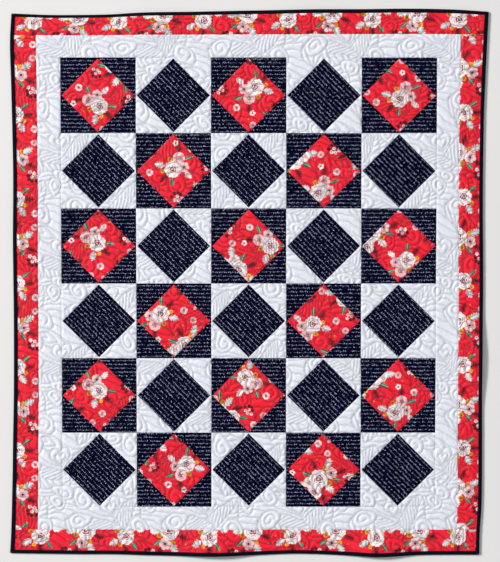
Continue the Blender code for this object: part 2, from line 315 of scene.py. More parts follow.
def curl(size):
    """A round loop on a short point, with a line that winds to its middle."""
    radius = 0.42 * size
    neck = size - 2 * radius
    t = np.linspace(math.pi, -math.pi, 60)
    reach = radius + neck * np.exp(-(((math.pi - np.abs(t)) / 0.55) ** 2))
    outline = np.column_stack([neck + radius + reach * np.cos(t), 0.88 * reach * np.sin(t)])
    turned = np.linspace(0, 1.9 * math.pi, 60)
    inner = radius * (0.74 - 0.48 * turned / turned[-1])
    angle = turned + 2.9
    winding = np.column_stack([neck + radius + inner * np.cos(angle), 0.84 * inner * np.sin(angle)])
    return Motif(outline, [winding])


def leaf(size):
    """A bent leaf with two smaller ones inside it."""
    t = np.linspace(0, 1, 40)
    loops = []
    for share in (1.0, 0.64, 0.30):
        half_width = 0.26 * size * share * np.sin(math.pi * t) ** 0.8 * (1.25 - 0.6 * t)
        along = t * size * share + 0.02 * size
        loops.append(bent_loop(along, half_width, size, 0.25))
    return Motif(loops[0], loops[1:])


def plume(size):
    """A broad feather: a spine, and barbs on both sides that lean towards its tip."""
    bend, lean, barb_gap = 0.35, 0.75, 0.0118
    t = np.linspace(0, 1, 50)
    along = t * size
    half_width = 0.27 * size * np.sin(math.pi * t**0.9) ** 0.6
    outline = bent_loop(along, half_width, size, bend)
    strokes = [bent(along[:-3], 0 * along[:-3], size, bend)]
    run = np.linspace(0, size / 2, 60)
    for root in np.arange(0.06 * size, 0.9 * size, barb_gap):
        at, off = root + run * math.cos(lean), run * math.sin(lean)
        kept = (off < np.interp(at, along, half_width)) & (at < size)
        if kept.sum() > 4:
            strokes += [bent(at[kept], side * off[kept], size, bend) for side in (1, -1)]
    return Motif(outline, strokes)


def heart(size):
    """A heart standing on its point, and a smaller one inside it."""
    t = np.linspace(math.pi, -math.pi, 60)
    lobe = 13 * np.cos(t) - 5 * np.cos(2 * t) - 2 * np.cos(3 * t) - np.cos(4 * t)
    outline = np.column_stack([lobe + 17, 16 * np.sin(t) ** 3]) * size / 29
    return Motif(outline, [outline * [0.55, 0.50] + [0.18 * size, 0]])


MOTIFS = {"curl": curl, "leaf": leaf, "plume": plume, "heart": heart}


def run_along(line):
    """How far along a line each of its points is."""
    return np.concatenate([[0], np.cumsum(np.hypot(*np.diff(line, axis=0).T))])


def evenly_spaced(line):
    """The same line with its points PATH_STEP apart."""
    gaps = np.hypot(*np.diff(line, axis=0).T)
    line = line[np.concatenate([[True], gaps > PATH_STEP / 1000])]
    run = run_along(line)
    at = np.arange(0, run[-1], PATH_STEP)
    return np.column_stack([np.interp(at, run, line[:, k]) for k in (0, 1)])


def inside(points, outline):
    """Which points lie inside a closed outline."""
    result = np.zeros(len(points), bool)
    in_box = (points > outline.min(0)) & (points < outline.max(0))
    near = np.flatnonzero(in_box.all(axis=1))
    x, y = points[near].T
    odd = np.zeros(len(near), bool)
    for (ax, ay), (bx, by) in zip(outline, np.roll(outline, -1, axis=0), strict=True):
        if ay != by:
            odd ^= ((ay > y) != (by > y)) & (x < (bx - ax) * (y - ay) / (by - ay) + ax)
    result[near] = odd
    return result


def runs_where(line, kept):
    """The stretches of a line where kept holds, but for the shortest."""
    breaks = np.flatnonzero(np.diff(kept.astype(int))) + 1
    parts = zip(np.split(line, breaks), np.split(kept, breaks), strict=True)
    return [part for part, on in parts if on[0] and len(part) > 8]


def one_repeat():
    """The lines of one repeat of the quilting, each cut off where a later motif covers it."""
    sprouts = []
    for sprout in UNIT_SPROUTS:
        motif = MOTIFS[sprout.motif](sprout.size)
        turned = turning(math.radians(sprout.turn))
        place = [sprout.u, sprout.v]
        outline = motif.outline @ turned + place
        sprouts.append(Motif(outline, [stroke @ turned + place for stroke in motif.strokes]))
    near = range(-2, 3)
    covers = [
        ((order, row, column), sprout.outline + [(column + row / 2) * UNIT, row * ROW_PITCH])
        for order, sprout in enumerate(sprouts)
        for row in near
        for column in near
    ]
    u = np.arange(0, UNIT, PATH_STEP)
    lines = []
    for k in range(GROUND_LINES):
        phase = math.pi * k / GROUND_LINES
        wave = GROUND_WAVE * np.sin(u / UNIT * 2 * math.pi - phase)
        lines.append(((-1, 0, 0), np.column_stack([u, k * ROW_PITCH / GROUND_LINES + wave])))
    for order, sprout in enumerate(sprouts):
        for stroke in [np.vstack([sprout.outline, sprout.outline[:1]]), *sprout.strokes]:
            lines.append(((order, 0, 0), evenly_spaced(stroke)))
    runs = []
    for order, line in lines:
        seen = np.ones(len(line), bool)
        for cover_order, outline in covers:
            if cover_order > order:
                seen &= ~inside(line, outline)
        runs += runs_where(line, seen)
    return runs


def hand_swayed(line):
    """A line of quilting as it was guided by hand: the repeats drift, and no line is quite true."""
    u, v = line.T
    drift = [np.sin(v * 33 + 1.6 * np.sin(u * 21)), np.sin(u * 37 + 1.8 * np.sin(v * 26))]
    shake = [np.sin(v * 190 + 2 * np.sin(u * 97)), np.sin(u * 170 + 2 * np.sin(v * 113))]
    return line + DRIFT * np.column_stack(drift) + SHAKE * np.column_stack(shake)


def quilting_lines():
    """Every run of quilting that lies on the quilt, row by row from the bottom."""
    repeat = one_repeat()
    room = np.array([EDGE_U, EDGE_V]) - BINDING_WIDTH - 2 * GAP
    rows = int(EDGE_V / ROW_PITCH) + 2
    columns = int(EDGE_U / UNIT) + 2
    runs = []
    for row in range(-rows, rows):
        for column in range(-columns, columns + 1):
            place = [(column + row % 2 / 2) * UNIT, row * ROW_PITCH]
            for run in repeat:
                line = hand_swayed(run + place)
                runs += runs_where(line, (np.abs(line) < room).all(axis=1))
    return runs


def softened(values):
    """A map of values with each one blended into its neighbours."""
    for axis in (0, 1):
        values = (np.roll(values, 1, axis) + 2 * values + np.roll(values, -1, axis)) / 4
    return values


class QuiltingMap:
    """How far each point of the flat quilt is from the nearest quilting line."""

    def __init__(self, lines, puff, puff_run):
        self.lines = lines
        half = np.array([EDGE_U, EDGE_V]) + MAP_REACH
        self.low = -half
        across, up = (2 * half / MAP_STEP).astype(int) + 2
        reach = int(MAP_REACH / MAP_STEP)
        squared = np.full((up, across), float(reach**2), np.float32)
        cells = np.rint((np.vstack(lines) - self.low) / MAP_STEP).astype(int)
        squared[cells[:, 1], cells[:, 0]] = 0
        for axis in (0, 1):
            nearest = squared.copy()
            for k in range(1, reach + 1):
                for step in (k, -k):
                    np.minimum(nearest, np.roll(squared, step, axis) + k * k, out=nearest)
            squared = nearest
        self.distance = softened(np.sqrt(squared) * MAP_STEP)
        self.slope_v, self.slope_u = np.gradient(self.distance, MAP_STEP)
        self.height = softened(puff * (1 - np.exp(-self.distance / puff_run)))

    def sampled(self, values, u, v):
        """A map's values at points of the flat quilt, blended between its cells."""
        at_u, at_v = (u - self.low[0]) / MAP_STEP, (v - self.low[1]) / MAP_STEP
        i = np.clip(at_u.astype(int), 0, values.shape[1] - 2)
        j = np.clip(at_v.astype(int), 0, values.shape[0] - 2)
        s, t = at_u - i, at_v - j
        low = values[j, i] * (1 - s) + values[j, i + 1] * s
        high = values[j + 1, i] * (1 - s) + values[j + 1, i + 1] * s
        return low * (1 - t) + high * t

    def groove(self, u, v):
        """How far each point is in the groove of a quilting line, from 0 to 1."""
        return np.exp(-((self.sampled(self.distance, u, v) / GROOVE_RUN) ** 2))

    def drawn_to_lines(self, u, v, pitch, room):
        """Mesh points moved onto quilting lines close by, so that the grooves' edges are crisp."""
        away = self.sampled(self.distance, u, v)
        near = 0.8 * pitch
        kept = np.clip((away / pitch - 0.3) / 0.5, 0, 1) * near
        move = np.where((away < near) & (room > 0.6 * pitch), away - kept, 0)
        return u - move * self.sampled(self.slope_u, u, v), v - move * self.sampled(self.slope_v, u, v)


def crinkles(u, v):
    """Small washed wrinkles, from -1 to 1, that change from place to place."""
    slow = np.sin(u * 61 + 1.7 * np.sin(v * 47)) * np.sin(v * 53 + 1.1 * np.sin(u * 39))
    quick = np.sin(u * 290 + 2.3 * np.sin(v * 170)) * np.sin(v * 330 + 1.9 * np.sin(u * 210 + 1))
    fine = np.sin(u * 640 + 2.1 * np.sin(v * 390)) * np.sin(v * 710 + 2.4 * np.sin(u * 450 + 2))
    return 0.4 * slow + 0.35 * quick + 0.25 * fine


def eased_to_edge(u, v):
    """How far the cloth has eased down to the binding, from 0 to 1 where it meets it."""
    to_edge = np.minimum(EDGE_U - np.abs(u), EDGE_V - np.abs(v))
    return 1 - np.clip((to_edge - BINDING_WIDTH - GAP) / EDGE_EASE, 0, 1)


# Meshes


class Sewing:
    """Gathers the points and faces of one piece, with each point's place on its own cloth."""

    def __init__(self):
        self.points, self.cloth, self.grooves, self.faces, self.count = [], [], [], [], 0

    def add(self, points, cloth, grooves, faces):
        """Adds points with their places on the cloth, and faces that count from their first point.

        The first points may be in a groove, from 0 to 1. The rest are not.
        """
        self.points.append(np.asarray(points, float))
        self.cloth.append(np.asarray(cloth, float))
        self.grooves.append(np.pad(grooves, (0, len(points) - len(grooves))))
        self.faces.extend([tuple(k + self.count for k in face) for face in faces])
        self.count += len(points)

    def add_padded(self, u, v, middle, rim, under, faces, turn, cut_at):
        """Adds a closed body: a quilted face, and its rim again at the height under.

        The cloth is cut about a point of its own, cut_at, that comes to lie at the middle.
        """
        top = laid(u, v, face_height(u, v))
        bottom = laid(u[rim], v[rim], under)
        cloth = (np.column_stack([u, v]) - middle) @ turning(turn) + cut_at
        points, places = np.vstack([top, bottom]), np.vstack([cloth, cloth[rim]])
        self.add(points, places, quilting().groove(u, v), faces)

    def finished(self, name, slot, *nodes, smooth_angle=50):
        """Makes the gathered piece, on the quilt's body and in the place of some solids."""
        points, cloth = np.vstack(self.points), np.vstack(self.cloth)
        mesh = bpy.data.meshes.new(name)
        mesh.from_pydata(points.tolist(), [], self.faces)
        mesh.update()
        corners = np.empty(len(mesh.loops), int)
        mesh.loops.foreach_get("vertex_index", corners)
        layer = mesh.uv_layers.new(name="cloth")
        layer.data.foreach_set("uv", cloth[corners].astype(np.float32).ravel())
        # How far each point is in a quilting groove; the cotton materials paint shade there by it.
        grooves = mesh.attributes.new("groove", "FLOAT", "POINT")
        grooves.data.foreach_set("value", np.concatenate(self.grooves).astype(np.float32))
        mesh.materials.append(cloth_materials()[slot])
        mesh.shade_smooth()
        mesh.set_sharp_from_angle(angle=math.radians(smooth_angle))
        ride(in_scene(name, mesh), slot, *nodes)


def ride(piece, slot, *nodes):
    """Puts a finished piece on the quilt's body, in the place of the solids that it stands for."""
    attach(piece, "root")
    if nodes:
        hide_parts(*nodes)


def around(size):
    """Each place of a ring with the next one."""
    return [(k, (k + 1) % size) for k in range(size)]


def walls(rim, count):
    """Faces from a rim down to the points under it, which are numbered from count."""
    return [(rim[m], rim[k], count + k, count + m) for k, m in around(len(rim))]


def grid(u_lines, v_lines):
    """The points of a grid of lines, their numbers row by row, its faces, and its rim."""
    u, v = (places.ravel() for places in np.meshgrid(u_lines, v_lines))
    index = np.arange(len(u)).reshape(len(v_lines), len(u_lines))
    quads = np.stack([index[:-1, :-1], index[:-1, 1:], index[1:, 1:], index[1:, :-1]], axis=-1)
    rim = np.concatenate([index[0, :-1], index[:-1, -1], index[-1, :0:-1], index[:0:-1, 0]])
    return u, v, index, quads.reshape(-1, 4), rim


Patch = namedtuple("Patch", "lattice faces rim")


def cut_patch(belongs, columns, rows):
    """A patch of the block's lattice: the points and faces where belongs(i, j) holds, and its rim."""
    faces = []
    for j in rows:
        for i in columns:
            corners = [(i, j), (i + 1, j), (i + 1, j + 1), (i, j + 1)]
            kept = [corner for corner in corners if belongs(*corner)]
            if len(kept) > 2:
                faces.append(kept)
    used = sorted({corner for face in faces for corner in face})
    index = {corner: k for k, corner in enumerate(used)}
    faces = [tuple(index[corner] for corner in face) for face in faces]
    sides = {(face[k - 1], face[k]) for face in faces for k in range(len(face))}
    following = {a: b for a, b in sides if (b, a) not in sides}
    rim = [next(iter(following))]
    while following[rim[-1]] != rim[0]:
        rim.append(following[rim[-1]])
    return Patch(np.array(used, float), faces, np.array(rim))


def block_patches(cells):
    """The square on point and the four corner patches of any block, on its lattice."""
    half = cells // 2
    tip = half - 1
    low, high, all_steps = range(-half, 0), range(half), range(-half, half)
    square = cut_patch(lambda i, j: abs(i) + abs(j) <= tip, all_steps, all_steps)
    corners = [
        cut_patch(lambda i, j: abs(i) + abs(j) >= tip, columns, rows)
        for columns, rows in ((low, low), (high, low), (high, high), (low, high))
    ]
    return {"squares": [square], "corners": corners}


def sewn_patch(sewing, patch, middle, pitch, turn, cut_at):
    """Adds one patch as a closed body: its quilted face, a rim turned under and a flat hidden side."""
    flat = patch.lattice * pitch
    ring = flat[patch.rim]
    heading = np.roll(ring, -1, axis=0) - np.roll(ring, 1, axis=0)
    inward = np.column_stack([-heading[:, 1], heading[:, 0]])
    room = to_block_seam(*(flat + middle).T)
    flat[patch.rim] += inward / np.hypot(*inward.T)[:, None] * GAP / 3
    u, v = quilting().drawn_to_lines(*(flat + middle).T, pitch, room)
    count, size = len(flat), len(patch.rim)
    hidden = tuple(count + k for k in reversed(range(size)))
    faces = [*patch.faces, *walls(patch.rim, count), hidden]
    under = np.full(size, PATCH_BOTTOM)
    sewing.add_padded(u, v, middle, patch.rim, under, faces, turn, cut_at)


def lines_between(start, stop, pitch, near_seams):
    """Mesh lines about pitch apart, with one more line close inside each end that is a seam."""
    count = max(round((stop - start) / pitch), 2)
    lines = list(np.linspace(start + GAP / 3, stop - GAP / 3, count + 1))
    close = pitch * 0.3
    if near_seams[0]:
        lines.insert(1, lines[0] + close)
    if near_seams[1]:
        lines.insert(-1, lines[-1] - close)
    return np.array(lines)


def sewn_strip(sewing, u_lines, v_lines, pitch, cut_at):
    """Adds a strip as a closed body: a fine upper face, and a lower one with lines along it only.

    The print stands upright in an upright strip, and lies on its side in one that lies across.
    """
    u, v, index, quads, rim = grid(u_lines, v_lines)
    in_u = np.minimum(u - u_lines[0], u_lines[-1] - u)
    in_v = np.minimum(v - v_lines[0], v_lines[-1] - v)
    u, v = quilting().drawn_to_lines(u, v, pitch, np.minimum(in_u, in_v))
    faces = [*map(tuple, quads.tolist()), *walls(rim.tolist(), len(u))]
    under = {int(point): len(u) + k for k, point in enumerate(rim)}
    if len(u_lines) > len(v_lines):
        turn, lines = math.pi / 2, (index[0], index[-1], index[:, 0], index[:, -1])
    else:
        turn, lines = 0.0, (index[:, -1], index[:, 0], index[0, ::-1], index[-1, ::-1])
    first, last, near, far = ([under[int(point)] for point in line] for line in lines)
    for k in range(1, len(first) - 2):
        faces.append((first[k], last[k], last[k + 1], first[k + 1]))
    faces.append((first[1], *near, last[1]))
    faces.append((last[-2], *far[::-1], first[-2]))
    middle = [(u_lines[0] + u_lines[-1]) / 2, (v_lines[0] + v_lines[-1]) / 2]
    height = under_strip(u[rim], v[rim])
    sewing.add_padded(u, v, middle, rim, height, faces, turn, cut_at)


# Shader and geometry trees


class Wire:
    """A value in a node tree. Arithmetic on wires adds the Math nodes for it."""

    def __init__(self, socket):
        self.tree, self.socket = socket.id_data, socket

    def math(self, operation, *others):
        """The result of a Math node that takes this wire first."""
        node = self.tree.nodes.new("ShaderNodeMath")
        node.operation = operation
        for socket, value in zip(node.inputs, (self, *others), strict=False):
            plug(value, socket)
        return Wire(node.outputs[0])

    def __add__(self, other):
        return self.math("ADD", other)

    def __sub__(self, other):
        return self.math("SUBTRACT", other)

    def __mul__(self, other):
        return self.math("MULTIPLY", other)

    def __truediv__(self, other):
        return self.math("DIVIDE", other)

    def __pow__(self, other):
        return self.math("POWER", other)

    def __abs__(self):
        return self.math("ABSOLUTE")

    def inside(self, limit, soft):
        """1 where the value is below the limit, falling to 0 over a soft edge."""
        settings = {"interpolation_type": "SMOOTHSTEP"}
        edge = {"From Min": -soft, "From Max": soft, "To Min": 1.0, "To Max": 0.0}
        value = self - limit
        return node_wire(self.tree, "ShaderNodeMapRange", "Result", settings, Value=value, **edge)


def plug(value, socket):
    """Links a wire to a socket, or sets the socket to a plain value."""
    if isinstance(value, Wire):
        value.tree.links.new(value.socket, socket)
    elif socket.type == "RGBA":
        socket.default_value = (*value, 1.0)
    else:
        socket.default_value = value


def node_wire(tree, kind, output, settings=None, **inputs):
    """Adds a node with its settings and inputs, and gives one of its outputs."""
    node = tree.nodes.new(kind)
    for key, value in (settings or {}).items():
        setattr(node, key, value)
    for key, value in inputs.items():
        plug(value, node.inputs[key])
    return Wire(node.outputs[output])


def all_outputs(wire):
    """Every output of the node that a wire comes from."""
    return [Wire(output) for output in wire.socket.node.outputs]


def noise(place, scale, detail, rough=0.5):
    """Soft unevenness from 0 to 1."""
    settings = {"Vector": place, "Scale": scale, "Detail": detail, "Roughness": rough}
    return node_wire(place.tree, "ShaderNodeTexNoise", "Fac", **settings)


def split(vector):
    """The X and Y of a vector."""
    return all_outputs(node_wire(vector.tree, "ShaderNodeSeparateXYZ", "X", Vector=vector))[:2]


def painted(under, over, mask, blend="MIX"):
    """One colour laid over another where the mask is 1."""
    tree = (over if isinstance(over, Wire) else mask).tree
    node = tree.nodes.new("ShaderNodeMix")
    node.data_type = "RGBA"
    node.blend_type = blend
    plug(mask, node.inputs["Factor"])
    plug(under, node.inputs[6])
    plug(over, node.inputs[7])
    return Wire(node.outputs[2])


SOCKETS = {
    "colour": "NodeSocketColor",
    "value": "NodeSocketFloat",
    "vector": "NodeSocketVector",
    "lines": "NodeSocketGeometry",
    "material": "NodeSocketMaterial",
}


def new_group(name, inputs, outputs, kind="ShaderNodeTree"):
    """A node group, with wires from its inputs and the node that takes its outputs."""
    tree = bpy.data.node_groups.new(name, kind)
    for in_out, sockets in (("INPUT", inputs), ("OUTPUT", outputs)):
        for label, held in sockets.items():
            tree.interface.new_socket(name=label, in_out=in_out, socket_type=SOCKETS[held])
    entry = tree.nodes.new("NodeGroupInput")
    wires = {label: Wire(entry.outputs[label]) for label in inputs}
    return tree, wires, tree.nodes.new("NodeGroupOutput")


def new_material(name):
    """A material, with its shader and the place of each point."""
    material = bpy.data.materials.new(name)
    material.use_nodes = True
    tree = material.node_tree
    return material, tree.nodes["Principled BSDF"], node_wire(tree, "ShaderNodeTexCoord", "Object")


def group_wires(tree, group, **inputs):
    """Places a node group in a tree, and gives its outputs by name."""
    first = node_wire(tree, "ShaderNodeGroup", 0, {"node_tree": group}, **inputs)
    return {wire.socket.name: wire for wire in all_outputs(first)}


# An odd step, so that no two pairs of whole numbers have the same chance values
CHANCE_STEP = 0.7193


def chances(a, b):
    """Three chance values from 0 to 1 that belong to a pair of whole numbers."""
    settings = {"noise_dimensions": "1D"}
    place = a * CHANCE_STEP + b
    colour = node_wire(a.tree, "ShaderNodeTexWhiteNoise", "Color", settings, W=place)
    return all_outputs(node_wire(a.tree, "ShaderNodeSeparateColor", 0, Color=colour))


MOTIF_INPUTS = {
    "Under": "colour",
    "X": "value",
    "Y": "value",
    "Main": "colour",
    "Shade": "colour",
    "Eye": "colour",
}


def motif_group(name, drawn):
    """A group that paints one printed motif over what is under it.

    drawn adds the motif's own nodes. Each motif picks what it needs of the same colours and places.
    """
    tree, wires, exit_node = new_group(name, MOTIF_INPUTS, {"Colour": "colour"})
    under, x, y, main, shade, eye = wires.values()
    radius = (x * x + y * y).math("SQRT")
    angle = y.math("ARCTAN2", x)
    plug(drawn(under, main, shade, eye, x, y, radius, angle), exit_node.inputs["Colour"])
    return tree


def rose(under, main, shade, eye, x, y, radius, angle):
    """Petals winding out from a dark heart, in a ragged round outline."""
    ragged = abs((angle * 3.5).math("SINE")) ** 0.5 * 0.14 + (angle * 17).math("SINE") * 0.03 + 0.85
    out = radius / ragged
    sway = (angle * 3 + 2).math("SINE") * 0.20 + (angle * 8).math("SINE") * 0.06
    winding = out * 3.6 + angle / (2 * math.pi) + sway
    petal = winding.math("FRACT")
    broken = (angle * 5 + winding.math("FLOOR") * 2.1).math("SINE").inside(0.60, 0.30)
    strokes = petal.inside(0.30, 0.12) * broken * out.inside(0.90, 0.06)
    colour = painted(main, shade, strokes * (out * -0.6 + 1.15))
    folds = petal.inside(0.60, 0.12) * out.inside(0.46, 0.08) * broken
    curl_in = petal.inside(0.68, 0.10) * out.inside(0.32, 0.06)
    colour = painted(colour, eye, folds.math("MAXIMUM", curl_in))
    return painted(under, colour, out.inside(1.0, 0.035))


def anemone(under, main, shade, eye, x, y, radius, angle):
    """Open petals round a dark eye, with a ring of stamens."""
    lobes = abs((angle * 3 + 0.6).math("SINE")) ** 0.45
    out = radius / (lobes * 0.30 + 0.72)
    creases = abs((angle * 3 + 0.6).math("SINE")).inside(0.16, 0.16) * 0.7
    colour = painted(main, shade, creases + out.inside(0.42, 0.14) * 0.3)
    stamens = abs(radius - 0.37).inside(0.06, 0.03) * (angle * 13).math("SINE").inside(-0.2, 0.3)
    middle = stamens.math("MAXIMUM", radius.inside(0.20, 0.04))
    colour = painted(colour, eye, middle)
    return painted(under, colour, out.inside(1.0, 0.05))


def petalled(count, petal_reach, petal_size):
    """A flower of round petals, a number of them, about a small eye."""

    def drawn(under, main, shade, eye, x, y, radius, angle):
        turn = 2 * math.pi / count
        folded = ((angle / turn + count / 2).math("FRACT") - 0.5) * turn
        dx = radius * folded.math("COSINE") - petal_reach
        dy = radius * folded.math("SINE")
        off = (dx * dx + dy * dy).math("SQRT")
        colour = painted(main, shade, off.inside(petal_size / 2, 0.12) * 0.55)
        flower = painted(under, colour, off.inside(petal_size, 0.05))
        return painted(flower, eye, radius.inside(0.24, 0.05))

    return drawn


def cluster(under, main, shade, eye, x, y, radius, angle):
    """Seven little blossoms and berries on stems round an eighth."""
    turn = 2 * math.pi / 7
    place = angle / turn + 3.5
    chance, tone = chances(place.math("FLOOR"), 4.0)[:2]
    folded = (place.math("FRACT") - 0.5) * turn
    reach = chance * 0.22 + 0.50
    dx = radius * folded.math("COSINE") - reach
    dy = radius * folded.math("SINE")
    off = (dx * dx + dy * dy).math("SQRT")
    lobes = (dy.math("ARCTAN2", dx) * 5).math("SINE") * 0.035 + 0.23
    stems = abs(dy).inside(0.022, 0.02) * (radius - reach).inside(0.0, 0.02)
    colour = painted(under, eye, stems)
    flower = painted(main, shade, tone)
    flower = painted(flower, eye, tone.math("GREATER_THAN", 0.72))
    colour = painted(colour, flower, (off - lobes).inside(0.0, 0.03))
    colour = painted(colour, eye, off.inside(0.06, 0.03))
    colour = painted(colour, main, radius.inside(0.21, 0.04))
    return painted(colour, eye, radius.inside(0.07, 0.03))


def button(under, main, shade, eye, x, y, radius, angle):
    """A round seed head, darker in its middle."""
    colour = painted(main, shade, radius.inside(0.5, 0.2))
    dots = (angle * 8).math("SINE").inside(0.0, 0.4) * abs(radius - 0.72).inside(0.10, 0.06)
    colour = painted(colour, eye, dots * 0.7)
    return painted(under, colour, radius.inside(1.0, 0.12))


def leaf_blade(under, main, shade, eye, x, y, radius, angle):
    """A pointed leaf along X with a pale rib, darker on one side of it."""
    belly = (x * (x * -1 + 1)).math("MAXIMUM", 0.0) ** 0.75
    blade = (abs(y) - belly * 0.66).inside(0.0, 0.03) * belly.math("GREATER_THAN", 0.01)
    veins = abs((x * 26 - abs(y) * 22).math("SINE")).inside(0.22, 0.16) * 0.5
    colour = painted(main, shade, y.inside(0.0, 0.03))
    rib = abs(y).inside(0.022, 0.015).math("MAXIMUM", veins)
    colour = painted(colour, eye, rib)
    return painted(under, colour, blade)


def sprig(pairs, spread, fullness):
    """A stalk along X with pairs of leaflets, so wide and so full, that lean towards its tip."""

    def drawn(under, main, shade, eye, x, y, radius, angle):
        off = abs(y)
        reach = (x * (x * -1 + 1)).math("MAXIMUM", 0.0).math("SQRT") * spread
        cell = ((x - off * 0.7) * pairs).math("FRACT") - 0.5
        taper = (reach - off).math("MAXIMUM", 0.0) * fullness
        leaflets = (abs(cell) - taper).inside(-0.02, 0.10) * (off - reach).inside(0.0, 0.02)
        on_stalk = x.inside(1.0, 0.02) * (x * -1).inside(0.0, 0.02)
        stalk = off.inside(0.022, 0.015) * on_stalk
        mask = (leaflets * on_stalk).math("MAXIMUM", stalk)
        colour = painted(main, shade, off.inside(0.05, 0.04))
        return painted(under, colour, mask)

    return drawn


PRINT_WIDTH = 0.128
PRINT_HEIGHT = 0.185
BOUQUETS = ((-0.004, 0.046), (0.002, -0.047))
Spot = namedtuple("Spot", "motif x y size turn dyes")
DYES = {
    "white": "petal petal_shade heart",
    "pink": "blush petal_shade heart",
    "bud": "petal blush petal_shade",
    "open": "blush petal_shade eye",
    "pale": "petal petal_shade petal_shade",
    "rosy": "blush petal_shade petal_shade",
    "berried": "petal blush maroon",
    "flushed": "blush petal maroon",
    "dark": "maroon maroon maroon",
    "minty": "mint white white",
    "milky": "petal mint white",
    "green": "leaf leaf_dark mint",
    "golden": "gold gold_dark yellow",
    "yellow": "yellow gold gold",
}
PRINT = [
    Spot("cluster", 0.046, 0.002, 0.0170, 10, "berried"),
    Spot("cluster", -0.045, -0.002, 0.0150, 60, "flushed"),
    Spot("starlet", 0.052, -0.078, 0.0090, 0, "pale"),
    Spot("starlet", -0.052, 0.083, 0.0086, 20, "rosy"),
    Spot("starlet", -0.050, -0.050, 0.0090, 40, "pale"),
    Spot("starlet", 0.051, 0.077, 0.0084, 10, "rosy"),
    Spot("blossom", -0.034, -0.083, 0.0070, 30, "berried"),
    Spot("frond", 0.008, 0.067, 0.0250, 72, "dark"),
    Spot("frond", -0.039, 0.046, 0.0240, 176, "dark"),
    Spot("frond", 0.032, 0.032, 0.0260, -22, "dark"),
    Spot("frond", -0.019, 0.026, 0.0250, 242, "dark"),
    Spot("spray", 0.026, 0.054, 0.0250, 28, "minty"),
    Spot("spray", -0.030, 0.062, 0.0240, 148, "minty"),
    Spot("spray", -0.002, 0.030, 0.0240, 276, "milky"),
    Spot("leaf", -0.040, 0.026, 0.0200, 214, "green"),
    Spot("leaf", -0.010, 0.068, 0.0200, 112, "green"),
    Spot("leaf", 0.018, 0.028, 0.0190, -48, "green"),
    Spot("rose", -0.023, 0.060, 0.0125, 200, "bud"),
    Spot("anemone", 0.026, 0.040, 0.0130, 20, "open"),
    Spot("rose", -0.031, 0.036, 0.0165, 60, "white"),
    Spot("rose", -0.002, 0.050, 0.0215, 0, "white"),
    Spot("button", 0.008, 0.027, 0.0056, 0, "golden"),
    Spot("button", 0.024, 0.058, 0.0046, 0, "yellow"),
    Spot("frond", 0.026, -0.048, 0.0250, 4, "dark"),
    Spot("frond", -0.023, -0.062, 0.0230, 222, "dark"),
    Spot("spray", 0.018, -0.064, 0.0230, -58, "minty"),
    Spot("spray", -0.003, -0.024, 0.0200, 96, "milky"),
    Spot("leaf", 0.024, -0.034, 0.0190, 38, "green"),
    Spot("leaf", -0.024, -0.042, 0.0190, 158, "green"),
    Spot("anemone", -0.010, -0.033, 0.0115, 50, "open"),
    Spot("rose", -0.016, -0.055, 0.0135, 100, "pink"),
    Spot("rose", 0.011, -0.047, 0.0190, 140, "white"),
    Spot("button", 0.000, -0.067, 0.0050, 0, "golden"),
    Spot("button", 0.030, -0.060, 0.0042, 0, "yellow"),
]
SPECK_CELL = 0.026
SPECK_SIZE = 0.0016


def specks(u, v, colours):
    """Tiny gold and green specks scattered over the ground, none in some cells."""
    across, up = u / SPECK_CELL, v / SPECK_CELL
    shift_u, shift_v, chance = chances(across.math("FLOOR"), up.math("FLOOR"))
    off_u = across.math("FRACT") - (shift_u * 0.7 + 0.15)
    off_v = up.math("FRACT") - (shift_v * 0.7 + 0.15)
    off = (off_u * off_u + off_v * off_v).math("SQRT") * SPECK_CELL
    colour = painted(colours["leaf"], colours["gold"], chance.math("GREATER_THAN", 0.4))
    shown = off.inside(SPECK_SIZE, 0.0003) * chance.math("LESS_THAN", 0.75)
    return painted(colours["red"], colour, shown)


def floral_print(colours):
    """The floral cloth's colour: bouquets and sprigs in columns, each column half a repeat lower."""
    drawings = {
        "rose": rose,
        "anemone": anemone,
        "blossom": petalled(5, 0.60, 0.36),
        "starlet": petalled(8, 0.62, 0.28),
        "cluster": cluster,
        "button": button,
        "leaf": leaf_blade,
        "frond": sprig(6, 0.72, 1.7),
        "spray": sprig(4, 0.74, 2.6),
    }
    groups = {name: motif_group(f"printed {name}", drawn) for name, drawn in drawings.items()}
    palette = {
        **colours,
        "eye": tuple(c * 0.12 for c in colours["maroon"]),
        "leaf_dark": tuple(c * 0.45 for c in colours["leaf"]),
        "gold_dark": tuple(c * 0.50 for c in colours["gold"]),
    }
    tree, wires, exit_node = new_group("floral print", {"Cloth": "vector"}, {"Colour": "colour"})
    u, v = split(wires["Cloth"])
    column = (u / PRINT_WIDTH).math("FLOOR")
    x = ((u / PRINT_WIDTH).math("FRACT") - 0.5) * PRINT_WIDTH
    y = ((v / PRINT_HEIGHT + column * 0.5).math("FRACT") - 0.5) * PRINT_HEIGHT
    ground = specks(u, v, palette)
    for spot in PRINT:
        main, shade, eye = (palette[dye] for dye in DYES[spot.dyes].split())
        off_x, off_y = x - spot.x, y - spot.y
        cosine = math.cos(math.radians(spot.turn)) / spot.size
        sine = math.sin(math.radians(spot.turn)) / spot.size
        ground = group_wires(
            tree,
            groups[spot.motif],
            Under=ground,
            X=off_x * cosine + off_y * sine,
            Y=off_y * cosine - off_x * sine,
            Main=main,
            Shade=shade,
            Eye=eye,
        )["Colour"]
    plug(ground, exit_node.inputs["Colour"])
    return tree


DASH_ROW = 0.0084
DASH_PITCH = 0.0040
DASH_THICKNESS = 0.00078


